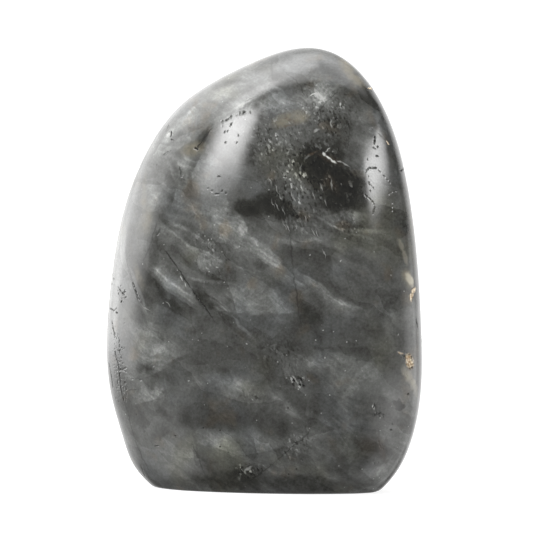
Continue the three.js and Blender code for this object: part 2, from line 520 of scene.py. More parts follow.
STREAKS: dict[Kind, tuple[Line, ...]] = {
    Kind.VEIL: (
        # On the shoulder
        (((146, 178), (158, 206)), 6, 0.12),
        (((152, 158), (205, 112), (262, 90)), 12, 0.12),
        (((205, 100), (262, 72), (300, 66)), 7, 0.06),
        (((256, 108), (290, 100), (345, 97)), 8, 0.15),
        (((262, 92), (236, 106)), 3, 0.10),
        # Partly veils, partly painted sheen: these two brighten the soft glow between the left highlight and
        # the left band
        (((185, 150), (182, 195)), 10, 0.12),
        (((200, 160), (218, 200)), 10, 0.14),
        (((165, 206), (250, 212)), 5, 0.08),
        # The fan across the middle
        (((166, 222), (200, 240), (226, 262)), 6.0, 0.07),
        (((170, 224), (190, 231), (212, 246)), 1.4, 0.12),
        (((178, 238), (207, 254)), 1.2, 0.12),
        (((240, 220), (254, 238), (276, 264)), 6.0, 0.07),
        (((186, 214), (222, 226), (240, 246)), 10.0, 0.07),
        (((250, 240), (262, 254), (280, 268)), 2.6, 0.08),
        (((173, 256), (186, 270)), 4.0, 0.14),
        (((184, 272), (204, 282), (232, 284)), 1.3, 0.13),
        (((228, 262), (262, 276)), 0.9, 0.06),
        (((152, 266), (170, 282), (192, 298)), 1.2, 0.12),
        (((300, 274), (320, 288), (350, 306)), 3.0, 0.07),
        (((335, 300), (372, 313)), 1.8, 0.10),
        (((228, 292), (262, 300), (290, 312)), 8, 0.07),
        (((217, 303), (233, 313), (254, 342)), 1.4, 0.14),
        (((205, 304), (240, 318)), 0.9, 0.12),
        (((338, 208), (362, 220)), 4.0, 0.09),
        (((325, 222), (350, 229), (386, 233)), 1.2, 0.14),
        (((296, 210), (326, 221), (350, 232), (376, 239)), 0.9, 0.13),
        (((270, 237), (300, 242), (334, 239)), 2.6, 0.09),
        (((305, 236), (360, 262)), 1.4, 0.06),
        (((300, 204), (334, 212)), 2.0, 0.08),
        # In the lower half and along the left rim
        (((306, 366), (336, 358)), 6, 0.05),
        (((272, 394), (284, 404), (298, 416)), 3.6, 0.14),
        (((182, 384), (214, 378), (246, 385)), 5, 0.13),
        (((200, 444), (240, 440), (272, 432)), 7, 0.05),
        (((278, 442), (336, 423)), 8, 0.08),
        (((128, 348), (158, 322)), 9, 0.12),
        (((143, 300), (152, 316)), 4, 0.12),
        (((130, 380), (166, 400)), 7, 0.07),
        (((160, 452), (190, 476)), 7, 0.06),
        (((383, 388), (401, 410)), 4, 0.08),
        (((270, 470), (320, 470)), 6, 0.08),
        (((365, 480), (386, 468)), 5, 0.12),
        (((388, 306), (394, 322)), 3, 0.08),
        (((112, 236), (109, 290)), 4, 0.10),
        (((118, 220), (117, 290)), 3, 0.12),
        (((124, 212), (122, 262)), 1.4, 0.10),
    ),
    Kind.SHEET: (
        (((298, 281), (268, 248), (250, 233), (234, 208)), 9.0, 0.14),
        (((222, 258), (197, 246), (178, 235), (163, 222)), 5.0, 0.13),
        (((212, 300), (232, 312), (256, 315), (286, 312)), 6.0, 0.13),
        (((150, 272), (167, 288), (190, 304)), 4.5, 0.12),
        (((352, 305), (325, 287), (300, 271)), 5.0, 0.15),
        (((368, 213), (346, 208), (326, 213)), 3.5, 0.15),
        (((310, 117), (326, 101), (340, 88)), 7.0, 0.06),
        (((207, 480), (200, 458), (180, 446)), 11.0, 0.12),
        (((346, 353), (322, 348), (300, 358)), 5.0, 0.11),
        (((370, 361), (354, 378), (338, 400)), 5.5, 0.09),
        (((138, 378), (156, 372), (174, 361)), 9.0, 0.14),
        (((138, 403), (152, 399), (164, 392)), 3.6, 0.12),
        (((262, 92), (236, 105), (206, 124)), 6.0, 0.05),
        (((196, 444), (236, 456), (276, 448)), 7.0, 0.11),
        (((300, 241), (272, 236), (250, 222)), 3.0, 0.07),
        (((196, 104), (170, 128), (150, 160)), 5.0, 0.10),
        (((280, 90), (262, 74), (240, 70)), 5.0, 0.06),
    ),
    Kind.SMOKE: (
        (((304, 156), (328, 168)), 8, 0.45),
        (((312, 162), (336, 176), (354, 196)), 13, 0.85),
        (((322, 184), (348, 200)), 11, 0.5),
        (((310, 150), (330, 146), (350, 158)), 7, 0.16),
        (((306, 205), (356, 207)), 3.6, 0.12),
        (((236, 208), (262, 205), (296, 213)), 5.6, 0.7),
        (((246, 204), (284, 204)), 8, 0.25),
        (((296, 150), (342, 140)), 6, 0.08),
        (((336, 96), (362, 100)), 9, 0.16),
        (((322, 112), (352, 148)), 13, 0.12),
        (((345, 395), (385, 420)), 12, 0.06),
        (((330, 462), (385, 462)), 8, 0.07),
        # Painted shade: these three streaks darken the strip beside the right highlight and down the right
        # rim
        (((361, 84), (374, 112)), 5, 0.34),
        (((372, 98), (386, 128), (396, 164)), 4.0, 0.10),
        (((396, 160), (402, 200), (407, 245)), 2.2, 0.08),
        (((252, 418), (290, 428)), 7, 0.12),
        (((178, 415), (215, 425), (245, 418)), 8, 0.07),
        (((356, 436), (382, 452)), 8, 0.14),
        (((330, 330), (385, 336)), 7, 0.08),
        (((258, 262), (266, 272)), 4, 0.14),
        (((188, 284), (204, 308)), 2.4, 0.24),
        (((170, 160), (184, 186)), 3, 0.14),
        (((158, 130), (178, 116)), 3, 0.08),
        (((272, 64), (280, 88)), 2.6, 0.14),
        (((240, 110), (258, 97), (284, 90)), 2.0, 0.16),
        (((298, 88), (322, 84)), 2.4, 0.16),
        (((248, 148), (254, 166)), 4, 0.14),
        (((240, 160), (264, 166)), 2.4, 0.14),
        (((255, 102), (264, 124)), 3, 0.20),
        (((213, 126), (196, 151)), 2.2, 0.40),
        (((205, 88), (240, 82)), 5, 0.08),
        (((158, 225), (148, 290)), 4, 0.14),
        (((148, 276), (168, 302)), 5, 0.2),
        (((134, 372), (160, 364)), 4, 0.12),
        (((190, 280), (216, 314)), 3.4, 0.15),
        (((225, 262), (235, 272)), 3, 0.12),
        (((268, 280), (287, 296)), 4, 0.09),
        (((280, 216), (302, 238)), 4, 0.10),
        (((323, 268), (346, 291)), 4, 0.07),
        (((300, 300), (330, 346)), 6, 0.09),
        (((155, 400), (170, 420)), 3.6, 0.14),
        (((180, 410), (197, 441)), 5, 0.09),
        (((334, 438), (346, 486)), 4, 0.12),
        (((352, 430), (368, 466)), 4, 0.08),
        (((374, 436), (387, 466)), 3.4, 0.18),
        # Painted shade along the bottom, where the base curves in towards the floor; part of it is the
        # stone's own smoky zone
        (((195, 476), (262, 482), (350, 486)), 6.5, 0.2),
        (((193, 444), (208, 480)), 1.6, 0.16),
        (((148, 436), (174, 430)), 3, 0.09),
        (((395, 405), (402, 408)), 2.4, 0.9),
    ),
    Kind.SHADE: (
        (((190, 306), (167, 289), (149, 273)), 5.0, 0.20),
        (((286, 215), (262, 209), (238, 208)), 3.0, 0.10),
        (((332, 256), (310, 247), (288, 243)), 4.0, 0.10),
        (((357, 206), (360, 186), (344, 166)), 9.0, 0.20),
        (((318, 212), (268, 206), (240, 209)), 4.0, 0.10),
        (((390, 353), (345, 346), (300, 342), (250, 346)), 4.0, 0.06),
        (((200, 458), (207, 480)), 6.0, 0.12),
        (((126, 236), (127, 258), (134, 282), (143, 304)), 6.0, 0.26),
        (((206, 128), (192, 140), (176, 150)), 3.0, 0.16),
        (((166, 150), (186, 136), (206, 128)), 3.0, 0.08),
        (((172, 206), (178, 186), (170, 168)), 3.0, 0.12),
        (((196, 190), (192, 172), (200, 158)), 2.5, 0.10),
    ),
    Kind.FLECKED: (
        (((258, 118), (285, 160), (300, 205)), 20, 0.7),
        (((300, 92), (350, 140)), 20, 0.7),
        (((304, 158), (330, 172), (352, 195)), 15, 0.9),
        (((285, 195), (316, 245)), 11, 0.4),
        (((322, 214), (380, 238)), 9, 0.4),
        (((287, 378), (312, 382)), 4, 1.8),
        (((232, 474), (264, 468)), 5, 1.8),
        (((280, 458), (316, 428)), 8, 0.8),
        (((195, 225), (232, 282)), 12, 0.5),
        (((250, 345), (310, 370)), 11, 0.4),
        (((240, 390), (262, 400)), 5, 0.8),
    ),
    Kind.FLAKE: (
        (((323, 152), (326, 156)), 0.9, 1.0),
        (((326, 156), (330, 159), (336, 163)), 0.6, 1.0),
        (((330, 147), (325, 153)), 0.3, 0.7),
        (((337, 161), (342, 162), (349, 167)), 0.4, 0.5),
        (((304, 160), (309, 155)), 0.8, 0.16),
        (((309, 96), (316, 92)), 0.5, 0.7),
        (((313, 133), (319, 128)), 0.6, 0.35),
        (((330, 118), (332, 128)), 0.5, 0.35),
        (((340, 102), (341, 106)), 0.6, 0.6),
        (((331, 176), (332, 192)), 0.4, 0.3),
        (((300, 173), (302, 162)), 0.4, 0.14),
        (((312, 190), (316, 201)), 0.3, 0.3),
        (((325, 199), (326, 206)), 0.3, 0.3),
        (((243, 472), (253, 466)), 0.8, 0.4),
        (((291, 376), (300, 384)), 0.6, 0.4),
        (((372, 404), (375, 410)), 0.7, 0.5),
        (((180, 275), (183, 281)), 0.35, 0.7),
        (((184, 282), (187, 288)), 0.35, 0.6),
        (((399, 333), (398, 337)), 0.3, 0.7),
        (((165, 301), (171, 307)), 0.4, 0.3),
        (((140, 304), (153, 313)), 0.3, 0.25),
    ),
    Kind.CRACK: (
        (((283, 190), (290, 230), (293, 270), (300, 320)), 0.5, 0.4),
        (((165, 250), (178, 268), (191, 288), (214, 320)), 0.55, 0.75),
        (((283, 70), (300, 85), (305, 97)), 0.35, 0.55),
        (((347, 115), (350, 134), (347, 150)), 0.4, 0.45),
        (((338, 90), (330, 99), (317, 112)), 0.5, 0.45),
        (((212, 128), (203, 140), (196, 149)), 0.6, 0.8),
        (((259, 95), (243, 103)), 0.35, 0.65),
        (((179, 164), (182, 178)), 0.6, 0.6),
        (((163, 156), (171, 151)), 0.5, 0.7),
        (((351, 170), (358, 200)), 0.8, 0.6),
        (((240, 214), (290, 224), (340, 231)), 0.3, 0.35),
        (((230, 178), (263, 181)), 0.4, 0.25),
        (((228, 163), (260, 167)), 0.4, 0.3),
        (((128, 228), (126, 242), (126, 256), (129, 270)), 0.6, 0.7),
        (((129, 270), (133, 283), (138, 294), (142, 304)), 0.9, 0.8),
        (((157, 222), (150, 246), (143, 262)), 0.6, 0.4),
        (((120, 385), (127, 410), (135, 440), (149, 470)), 0.5, 0.5),
        (((250, 481), (277, 460), (300, 440)), 0.4, 0.45),
        (((192, 442), (199, 460), (207, 479)), 0.5, 0.45),
        (((344, 272), (356, 300)), 0.3, 0.25),
        (((289, 446), (312, 432)), 0.5, 0.4),
        (((271, 60), (274, 80)), 0.9, 0.3),
        (((362, 230), (358, 252)), 0.7, 0.25),
        (((369, 414), (386, 414)), 0.7, 0.7),
        (((158, 235), (160, 228)), 0.9, 0.6),
        (((152, 276), (163, 297)), 0.4, 0.3),
        (((143, 404), (160, 398)), 0.5, 0.3),
        (((147, 471), (152, 484)), 0.5, 0.5),
        (((243, 128), (249, 150)), 0.35, 0.3),
        (((306, 150), (322, 150), (348, 166)), 0.35, 0.3),
    ),
    Kind.TAN: (
        (((343, 60), (350, 74), (362, 85)), 4.6, 0.6),
        (((276, 124), (292, 116), (306, 118)), 4.6, 0.5),
        (((180, 151), (206, 147)), 5, 0.5),
        (((146, 165), (147, 235)), 3, 0.2),
        (((130, 350), (150, 335)), 6, 0.15),
        (((404, 270), (412, 288)), 4.2, 0.6),
        (((402, 370), (417, 389)), 2.6, 0.6),
        (((148, 205), (146, 236)), 5, 0.35),
        (((134, 262), (144, 292)), 3, 0.3),
    ),
    Kind.RUST: (
        (((280, 118), (296, 121)), 0.8, 0.6),
        (((282, 127), (296, 125)), 0.7, 0.7),
        (((188, 105), (196, 118), (193, 129)), 0.8, 0.45),
        (((121, 220), (124, 233)), 1.6, 0.6),
        (((228, 261), (228, 274)), 2.6, 0.3),
        (((376, 430), (386, 466)), 2.6, 0.35),
        (((358, 440), (380, 450)), 7, 0.22),
        (((303, 157), (320, 151)), 0.9, 0.5),
        (((325, 430), (345, 472)), 3, 0.12),
        (((314, 152), (345, 165)), 2.4, 0.3),
        (((324, 172), (340, 196)), 3.2, 0.2),
    ),
    Kind.IVORY: (
        (((399, 240), (403, 250), (407, 264)), 1.6, 0.22),
        (((407, 273), (413, 286)), 2.6, 0.75),
        (((404, 369), (411, 380), (417, 395)), 2.8, 0.2),
    ),
    Kind.CREAM: (
        (((415, 289), (412, 292), (411, 300)), 1.3, 1.0),
        (((408, 355), (411, 368)), 2.7, 1.0),
        (((368, 89), (372, 88)), 0.7, 0.9),
        (((386, 141), (390, 145)), 0.45, 0.8),
        (((398, 352), (404, 354)), 0.7, 0.5),
    ),
}

NEEDLE_TOPS = (
    (275, 184), (278, 191), (271, 199), (275, 201), (290, 190), (293, 194), (283, 221), (286, 223),
    (312, 228), (315, 229), (322, 249), (297, 196), (281, 206), (304, 214), (268, 176), (319, 182),
)
NEEDLE_RUN = (4, 10)  # pixels to the right and down that a needle reaches
NEEDLE_WIDTH = 0.28  # mm
NEEDLE_STRENGTH = 0.34

SPECKS = (
    (214, 225), (205, 236), (208, 240), (211, 239), (217, 267), (210, 271), (142, 264), (163, 303),
    (224, 282), (341, 261), (391, 276), (284, 178), (404, 291), (310, 255), (323, 330), (330, 395),
    (356, 340), (325, 358), (347, 342), (345, 371), (177, 270), (247, 344), (202, 333), (169, 342),
    (303, 378), (309, 380), (188, 380), (208, 383), (299, 389), (305, 395), (287, 355), (278, 362),
)
SPECK_WIDTH = 0.42  # mm
SPECK_STRENGTH = 0.5

UPPER_PITS = (
    Pit((244, 112.5), 0.5, 1.0, 40, 0.4),
    Pit((236, 115.5), 0.4, 0.8, 15),
    Pit((227, 120), 0.35, 1.0, 25),
    Pit((222, 122), 0.25, 0.5, 25, 0.2),
    Pit((231, 124.5), 0.35, 0.4),
    Pit((224.5, 132.5), 0.4, 0.5, 30),
    Pit((227.5, 131), 0.3, 0.4, 20, 0.2),
    Pit((238.5, 136), 0.4, 0.4),
    Pit((237, 142.5), 0.35, 0.35),
    Pit((225.5, 142), 0.25, 0.5, 80, 0.2),
    Pit((222, 126), 0.3, 0.3, 0, 0.2),
    Pit((240, 113), 0.3, 0.4, 0, 0.2),
    Pit((231, 117), 0.3, 0.5, 20, 0.2),
    Pit((251, 112.5), 0.3, 0.3, 0, 0.2),
    Pit((208, 188.5), 0.4, 0.4),
    Pit((212, 191), 0.3, 0.5, -30, 0.2),
    Pit((217, 194), 0.35, 1.2, -4),
    Pit((222, 191), 0.45, 0.5, -45),
    Pit((226, 193), 0.5, 0.5),
    Pit((219, 176.5), 0.25, 0.6, 0, 0.2),
    Pit((196, 148.5), 0.6, 1.3, -15, 0.4),
    Pit((171, 134), 0.6, 1.6, 80, 0.5),
    Pit((168, 127), 0.3, 1.0, 75, 0.2),
    Pit((173, 140), 0.4, 1.2, -15),
    Pit((157, 165), 0.6, 0.6),
    Pit((182, 176), 0.4, 0.8, 80),
)

RIGHT_PITS = (
    Pit((374.5, 140), 0.42, 2.0, 85, 0.4),
    Pit((374, 148), 0.25, 0.7, -20, 0.2),
    Pit((377.5, 147), 0.2, 0.6, 80, 0.15),
    Pit((367, 158.5), 0.3, 0.3, 0, 0.2),
    Pit((377, 156), 0.3, 0.6, 0, 0.2),
    Pit((369, 184), 0.4, 0.4, 0, 0.2),
    Pit((372, 181), 0.25, 0.25, 0, 0.2),
    Pit((402, 170), 0.5, 1.3, 40, 0.4),
    Pit((371, 129), 0.4, 0.8, 30, 0.2),
    Pit((385, 121), 0.4, 0.4, 0, 0.2),
    Pit((417, 323.5), 0.7, 2.8, -78, 0.5),
    Pit((408, 394), 0.6, 0.7),
    Pit((374, 406), 0.5, 1.3, 80),
    Pit((312, 412), 0.4, 0.6, 0, 0.2),
    Pit((302, 461), 0.6, 1.0, -40),
    Pit((391, 430), 0.4, 0.6),
    Pit((392, 424), 0.3, 0.3, 0, 0.2),
)

LEFT_PITS = (
    Pit((112, 270), 0.5, 0.7, 80),
    Pit((114, 279), 0.4, 0.5),
    Pit((112, 284), 0.4, 0.6, 60),
    Pit((123, 294), 0.5, 0.9, -40),
    Pit((121.5, 302), 0.4, 0.6, 70),
    Pit((111, 309), 0.4, 0.8, 0),
    Pit((117, 313), 0.4, 0.8, -10),
    Pit((113, 328), 0.4, 0.6, 80),
    Pit((132, 379), 0.35, 0.5),
    Pit((140, 380), 0.35, 0.5),
    Pit((157, 411), 0.5, 0.6),
    Pit((175, 436), 0.4, 0.7, -20),
    Pit((157, 446), 0.4, 1.1, 10),
    Pit((203, 334), 0.3, 0.3, 0, 0.2),
    Pit((145, 432), 0.4, 0.7, 50),
    Pit((153, 366), 0.3, 0.6, 20, 0.2),
    Pit((158, 234), 0.4, 0.8, 60),
)

GROOVES = (
    Groove(((366, 171), (369, 168), (376, 168)), 0.22, 0.18),
    Groove(((376, 168), (384, 176), (392, 185)), 0.12, 0.09),
    Groove(((378, 133), (384, 139), (388, 142)), 0.16, 0.12),
    Groove(((388, 195), (392, 192), (398, 191)), 0.16, 0.14),
    Groove(((365, 195), (372, 201), (375, 206)), 0.16, 0.12),
    Groove(((375, 206), (373, 214)), 0.14, 0.1),
    Groove(((392, 200), (392, 212)), 0.14, 0.12),
    Groove(((191, 288), (200, 301), (207, 311)), 0.2, 0.15),
    Groove(((109, 364), (111, 374), (113, 387)), 0.5, 0.35),
    Groove(((115, 352), (119, 368), (121, 388), (124, 401)), 0.4, 0.3),
    Groove(((120, 370), (126, 368)), 0.3, 0.2),
    Groove(((112, 322), (115, 337)), 0.4, 0.3),
    Groove(((119, 338), (120, 353)), 0.25, 0.2),
    Groove(((120, 369), (126, 372)), 0.3, 0.2),
    Groove(((124, 376), (127, 390), (126, 402)), 0.25, 0.2),
    Groove(((110, 308), (114, 311), (117, 308)), 0.3, 0.25),
    Groove(((118, 287), (122, 293), (126, 292)), 0.3, 0.2),
    Groove(((141, 465), (145, 476)), 0.35, 0.3),
    Groove(((163, 156), (166, 153), (171, 151)), 0.3, 0.2),
    Groove(((133, 283), (139, 300)), 0.45, 0.25),
)

ROUGH_STRIPS = (
    Rough(((408, 355), (411, 368)), 1.7, 60, 0.7, 0.45),
    Rough(((414, 289), (411, 300)), 1.1, 26, 0.6, 0.45),
    Rough(((399, 353), (406, 359)), 1.6, 22, 0.4, 0.25),
    Rough(((367, 89), (373, 89)), 0.8, 10, 0.4, 0.3),
    Rough(((398, 352), (405, 354)), 0.9, 10, 0.35, 0.2),
    Rough(((403, 372), (417, 392)), 2.0, 26, 0.35, 0.2),
    Rough(((119, 346), (118, 372), (122, 402)), 3.0, 130, 0.42, 0.2),
    Rough(((114, 325), (116, 348)), 2.2, 24, 0.36, 0.15),
    Rough(((112, 268), (114, 284)), 0.8, 8, 0.4, 0.3),
    Rough(((118, 288), (126, 298)), 1.8, 22, 0.45, 0.3),
    Rough(((125, 318), (125, 330)), 0.5, 6, 0.35, 0.2),
    Rough(((122, 290), (124, 306)), 1.2, 14, 0.3, 0.2),
    Rough(((288, 377), (312, 383)), 1.4, 34, 0.35, 0.2),
    Rough(((240, 472), (258, 466)), 1.4, 30, 0.4, 0.25),
    Rough(((296, 430), (310, 450)), 1.8, 18, 0.35, 0.2),
    Rough(((280, 459), (300, 445)), 1.0, 14, 0.35, 0.2),
    Rough(((238, 394), (256, 392)), 1.4, 12, 0.3, 0.15),
    Rough(((374, 412), (388, 416)), 1.0, 14, 0.35, 0.2),
    Rough(((374, 462), (396, 472)), 1.6, 20, 0.35, 0.2),
    Rough(((368, 176), (372, 192)), 1.4, 10, 0.3, 0.15),
    Rough(((376, 440), (386, 452)), 1.6, 16, 0.3, 0.15),
)


@dataclass(frozen=True)
class Plan:
    """How the streaks of one kind are scattered over the hidden side."""

    kind: Kind
    count: int
    lengths: Range  # mm
    widths: Range  # mm
    strengths: Range
    turn: float = 0.0  # radians from the way most veils run


@dataclass(frozen=True)
class HiddenSide:
    """What the photograph does not show, in the style of the front: the back, the flanks and the base."""

    seed: int = 11
    plans: tuple[Plan, ...] = (
        Plan(Kind.VEIL, 18, (5, 16), (1.2, 6.5), (0.08, 0.18)),
        Plan(Kind.SHEET, 14, (8, 20), (8, 18), (0.12, 0.22)),
        Plan(Kind.SMOKE, 16, (4, 14), (3, 11), (0.12, 0.45)),
        Plan(Kind.CRACK, 16, (5, 16), (0.4, 0.7), (0.45, 0.9), 1.2),
    )
    run: Triple = (0.88, 0.0, -0.47)  # the way most veils run
    run_spread: float = 0.3  # radians
    facing_limit: float = -0.12  # the hidden side begins where the surface faces less than this to the front
    lowest: float = 2.0  # mm above the floor
    pits: int = 60
    pit_step: float = 0.2  # mm between the nicks of a pit
    pit_nicks: tuple[int, int] = (1, 5)
    pit_radii: Range = (0.12, 0.3)  # mm
    pit_depths: Range = (0.1, 0.35)  # mm
    pit_changes: Range = (0.7, 1.1)  # how a nick's radius differs from its pit's

    def spots(self, piece: bpy.types.Object, count: int, draw: random.Random) -> list[tuple[Vector, Vector]]:
        """Picks random places on the hidden side.

        Args:
            piece: the smooth stone.
            count: how many.
            draw: the source of random numbers.

        Returns:
            The place and the facing of each.
        """
        faces = piece.data.polygons
        spots = []
        while len(spots) < count:
            face = faces[draw.randrange(len(faces))]
            if face.normal.y > self.facing_limit and face.center.z > self.lowest * MM:
                spots.append((face.center.copy(), face.normal.copy()))
        return spots

    def streaks(self, piece: bpy.types.Object, surface: Surface) -> list[Laid]:
        """Scatters streaks over the hidden side.

        Args:
            piece: the smooth stone.
            surface: its surface.

        Returns:
            The streaks.
        """
        draw = random.Random(self.seed)
        streaks = []
        for plan in self.plans:
            for start, facing in self.spots(piece, plan.count, draw):
                turn = Matrix.Rotation(draw.gauss(0, self.run_spread) + plan.turn, 3, facing)
                way = (turn @ Vector(self.run)).normalized() * draw.uniform(*plan.lengths) * MM
                corners = [(start, facing), surface.nearest(start + way)]
                marks = line_marks(corners, draw.uniform(*plan.widths), plan.kind in SOFT_KINDS)
                streaks.append((plan.kind, marks, draw.uniform(*plan.strengths)))
        return streaks

    def nicks(self, place: Vector, facing: Vector, draw: random.Random) -> list[Nick]:
        """Makes one pit from a few nicks in a row.

        Args:
            place: where it begins.
            facing: the way the surface faces there.
            draw: the source of random numbers.

        Returns:
            Its nicks.
        """
        aside = facing.cross(Vector([draw.gauss(0, 1) for _ in range(3)])).normalized()
        step = aside * self.pit_step * MM
        radius = draw.uniform(*self.pit_radii)
        depth = draw.uniform(*self.pit_depths)
        return [Nick(place + step * number, radius * draw.uniform(*self.pit_changes) * MM, depth * MM)
                for number in range(draw.randint(*self.pit_nicks))]


@dataclass
class Stone:
    """The labradorite itself: smooth all round, with pits, open cracks and chips in its polish."""

    sight: Sight
    smooth_levels: int = 2
    exact_levels: int = 4
    join_distance: float = 0.002  # mm
    refinements: tuple[float, ...] = (0.7, 0.3)  # mm of finer faces beyond each nick, coarse to fine
    nick_step: float = 0.12  # mm between the nicks of a groove
    bite: float = 0.62  # width of a nick as a share of the width of its pit or groove, whose rim sinks too
    bowl: float = 0.6  # how round a nick is: less makes its sides steeper
    deepest: float = 0.6  # mm
    bend_seed: int = 3
    bend: float = 0.25  # how far a pit or groove wanders, as a share of its width
    bend_rate: float = 1.7  # bends to a millimetre
    change: float = 0.5  # how much its width and depth change along the way
    change_rate: float = 2.3  # changes to a millimetre
    rough_seed: int = 5
    rough_sizes: Range = (0.4, 1.0)  # of the nicks of a rough strip, as shares of its widest
    hidden: HiddenSide = HiddenSide()
    surface: Surface | None = None  # found when the stone is built
    hidden_streaks: list[Laid] = field(default_factory=list)

    def build(self) -> bpy.types.Object:
        """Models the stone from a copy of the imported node.

        Returns:
            The finished piece, still without its material.
        """
        piece = self._copy_node()
        self._join_faces(piece)
        exact = self._exact_copy(piece)
        self._subdivide(piece, self.smooth_levels)
        self.surface = Surface(piece, self.sight)
        self.hidden_streaks = self.hidden.streaks(piece, self.surface)
        nicks = self._nicks(piece)
        self._refine(piece, nicks)
        self._settle(piece, exact)
        self._carve(piece, nicks)
        take_up(piece)
        bpy.ops.object.shade_smooth()
        return piece

    def _copy_node(self) -> bpy.types.Object:
        """Copies the node's mesh into a new object.

        Returns:
            The new object.
        """
        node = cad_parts[NODE]
        piece = bpy.data.objects.new("polished_stone", node.data.copy())
        piece.data.materials.clear()
        bpy.context.scene.collection.objects.link(piece)
        return piece

    def _join_faces(self, piece: bpy.types.Object) -> None:
        """Merges the loose triangles into a closed mesh of quads.

        Args:
            piece: the copy of the node.
        """
        take_up(piece)
        bpy.ops.object.mode_set(mode="EDIT")
        bpy.ops.mesh.select_mode(type="VERT")
        bpy.ops.mesh.select_all(action="SELECT")
        bpy.ops.mesh.remove_doubles(threshold=self.join_distance * MM)
        bpy.ops.mesh.customdata_custom_splitnormals_clear()
        bpy.ops.mesh.tris_convert_to_quads(face_threshold=math.pi, shape_threshold=math.pi)
        bpy.ops.object.mode_set(mode="OBJECT")

    def _subdivide(self, piece: bpy.types.Object, levels: int) -> None:
        """Rounds the faces off with a Subdivision Surface.

        Args:
            piece: the mesh of quads.
            levels: how often each face is split in four.
        """
        take_up(piece)
        modifier = piece.modifiers.new("round", "SUBSURF")
        modifier.levels = levels
        modifier.render_levels = levels
        bpy.ops.object.modifier_apply(modifier=modifier.name)

    def _exact_copy(self, piece: bpy.types.Object) -> bpy.types.Object:
        """Makes a very fine copy of the stone, which the refined mesh is laid onto.

        Args:
            piece: the mesh of quads.

        Returns:
            The fine copy.
        """
        copy = bpy.data.objects.new("exact", piece.data.copy())
        bpy.context.scene.collection.objects.link(copy)
        self._subdivide(copy, self.exact_levels)
        return copy

    def _nicks(self, piece: bpy.types.Object) -> list[Nick]:
        """Works out every nick in the surface.

        Args:
            piece: the smooth stone.

        Returns:
            The nicks.
        """
        noise.seed_set(self.bend_seed)
        nicks = []
        for pit in UPPER_PITS + RIGHT_PITS + LEFT_PITS:
            nicks.extend(self._pit_nicks(pit))
        for groove in GROOVES:
            nicks.extend(self._line_nicks(groove.path, groove.width, groove.depth))
        draw = random.Random(self.rough_seed)
        for rough in ROUGH_STRIPS:
            nicks.extend(self._rough_nicks(rough, draw))
        for place, facing in self.hidden.spots(piece, self.hidden.pits, draw):
            nicks.extend(self.hidden.nicks(place, facing, draw))
        return nicks

    def _rough_nicks(self, rough: Rough, draw: random.Random) -> list[Nick]:
        """Strews nicks over a rough strip.

        Args:
            rough: the strip.
            draw: the source of random numbers.

        Returns:
            Its nicks.
        """
        nicks = []
        for _ in range(rough.count):
            share = draw.random() * (len(rough.path) - 1)
            step = min(int(share), len(rough.path) - 2)
            (x1, y1), (x2, y2) = rough.path[step:step + 2]
            share -= step
            spread = draw.gauss(0, rough.width / 4) * self.sight.scale
            length = math.hypot(x2 - x1, y2 - y1)
            pixel = (x1 + (x2 - x1) * share + spread * (y2 - y1) / length,
                     y1 + (y2 - y1) * share - spread * (x2 - x1) / length)
            place, _ = self.surface.under(pixel)
            size = draw.uniform(*self.rough_sizes)
            nicks.append(Nick(place, rough.size * self.bite * size / 2 * MM, rough.depth * size * MM))
        return nicks

    def _pit_nicks(self, pit: Pit) -> list[Nick]:
        """Splits a pit into nicks along its length.

        Args:
            pit: the pit.

        Returns:
            Its nicks.
        """
        turn = math.radians(pit.turn)
        reach = max(0.0, pit.length - pit.width) / 2 * self.sight.scale
        ends = [(pit.pixel[0] + side * reach * math.cos(turn), pit.pixel[1] - side * reach * math.sin(turn))
                for side in (-1, 1)]
        return self._line_nicks(tuple(ends), pit.width, pit.depth)

    def _line_nicks(self, path: tuple[Pixel, ...], width: float, depth: float) -> list[Nick]:
        """Lays nicks along a line of pixels.

        Args:
            path: the line.
            width: the width of the line, in millimetres.
            depth: its depth, in millimetres.

        Returns:
            The nicks, which wander and change in size a little along the way.
        """
        nicks = []
        for (x1, y1), (x2, y2) in zip(path, path[1:]):
            length = math.hypot(x2 - x1, y2 - y1) / self.sight.scale
            steps = max(1, math.ceil(length / self.nick_step))
            for step in range(steps + 1):
                share = step / steps
                pixel = (x1 + (x2 - x1) * share, y1 + (y2 - y1) * share)
                place, _ = self.surface.under(pixel)
                wander = noise.noise_vector(place / MM * self.bend_rate) * self.bend * width * MM
                change = 1 + self.change * noise.noise(place / MM * self.change_rate)
                radius = width / 2 * self.bite * change
                nicks.append(Nick(place + wander, radius * MM, depth * change * MM))
        return nicks

    def _refine(self, piece: bpy.types.Object, nicks: list[Nick]) -> None:
        """Splits the faces near the nicks into finer ones.

        Args:
            piece: the smooth stone.
            nicks: the nicks.
        """
        for margin in self.refinements:
            centres = read_vectors(piece.data.polygons, "center")
            tree = point_tree(centres)
            chosen = np.zeros(len(centres), bool)
            for nick in nicks:
                for _, number, _ in tree.find_range(nick.place, nick.radius + margin * MM):
                    chosen[number] = True
            take_up(piece)
            choose_faces(piece, chosen)
            bpy.ops.object.mode_set(mode="EDIT")
            bpy.ops.mesh.select_mode(type="FACE")
            bpy.ops.mesh.subdivide(number_cuts=1)
            bpy.ops.object.mode_set(mode="OBJECT")

    def _settle(self, piece: bpy.types.Object, exact: bpy.types.Object) -> None:
        """Lays the refined mesh onto the exact surface, and throws the fine copy away.

        Args:
            piece: the refined stone.
            exact: the fine copy.
        """
        take_up(piece)
        modifier = piece.modifiers.new("settle", "SHRINKWRAP")
        modifier.target = exact
        modifier.wrap_method = "NEAREST_SURFACEPOINT"
        bpy.ops.object.modifier_apply(modifier=modifier.name)
        bpy.data.meshes.remove(exact.data)

